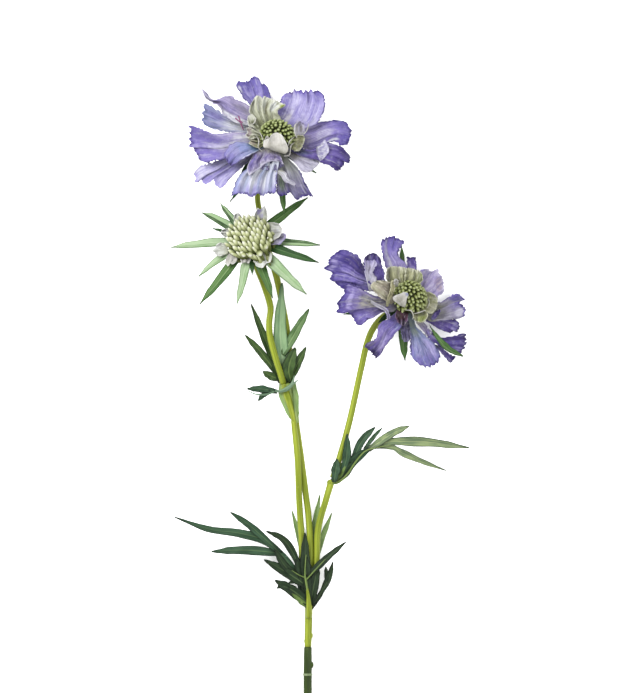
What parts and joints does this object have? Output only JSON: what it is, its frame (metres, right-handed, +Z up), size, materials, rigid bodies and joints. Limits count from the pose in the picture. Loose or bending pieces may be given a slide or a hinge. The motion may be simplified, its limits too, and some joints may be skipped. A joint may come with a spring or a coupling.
{
  "type": "scabiosa spray",
  "caption": "Cut spray of scabiosa lying down, with open pincushion blooms, a closed seed head on a star of bracts, branching stems and dissected leaves.",
  "frame": {"origin": "centre of the bounding box's base, on the surface that the spray lies on", "axes": "+Y runs from the cut end of the stem to the top bloom, +X to the right bloom's side, +Z up from the surface"},
  "size_m": [0.1377, 0.3025, 0.0455],
  "materials": {
    "top_petals": "soft, matt",
    "right_petals": "soft, matt",
    "seed_petals": "soft, matt",
    "inner_petals": "soft, matt",
    "dome": "matt, moulded",
    "seed_dome": "matt, moulded",
    "bracts": "satin",
    "sleeve": "satin",
    "stems": "satin",
    "leaf_backs": "matt",
    "leaves": "matt"
  },
  "bodies": {
    "root": {"leaf_base_back": "leaf_backs", "leaf_base_front": "leaves", "leaf_base_left": "leaves", "leaf_base_right_lower": "leaves", "leaf_base_upper": "leaves", "leaf_right": "leaves", "leaf_right_small": "leaves", "leaf_right_upright": "leaves", "leaf_upper_centre": "leaf_backs", "leaf_upper_left": "leaves", "leaf_upper_low": "leaves", "leaf_upper_right": "leaves", "right_dome": "dome", "right_inner_front": "inner_petals", "right_inner_low": "inner_petals", "right_inner_rear": "inner_petals", "right_inner_right": "inner_petals", "right_involucre": "bracts", "right_petal_curled": "right_petals", "right_petal_front": "right_petals", "right_petal_front_left": "right_petals", "right_petal_front_right": "right_petals", "right_petal_left": "right_petals", "right_petal_left_rear": "right_petals", "right_petal_rear": "right_petals", "right_petal_rear_right": "right_petals", "right_petal_right": "right_petals", "seed_bracts": "bracts", "seed_dome": "seed_dome", "seed_petal_side": "seed_petals", "seed_petal_top": "seed_petals", "stem_branch_left": "stems", "stem_branch_right": "stems", "stem_main": "stems", "stem_right_lower": "stems", "stem_right_upper": "stems", "stem_seed_head": "stems", "stem_sheath": "stems", "stem_sleeve": "sleeve", "stem_top_bloom": "stems", "top_dome": "dome", "top_inner_front": "inner_petals", "top_inner_left": "inner_petals", "top_inner_low": "inner_petals", "top_inner_rear": "inner_petals", "top_inner_right": "inner_petals", "top_involucre": "bracts", "top_petal_front": "top_petals", "top_petal_front_low": "top_petals", "top_petal_front_right": "top_petals", "top_petal_left": "top_petals", "top_petal_left_low": "top_petals", "top_petal_left_rear": "top_petals", "top_petal_rear": "top_petals", "top_petal_rear_left": "top_petals", "top_petal_rear_right": "top_petals", "top_petal_right": "top_petals"}
  },
  "joints": []
}
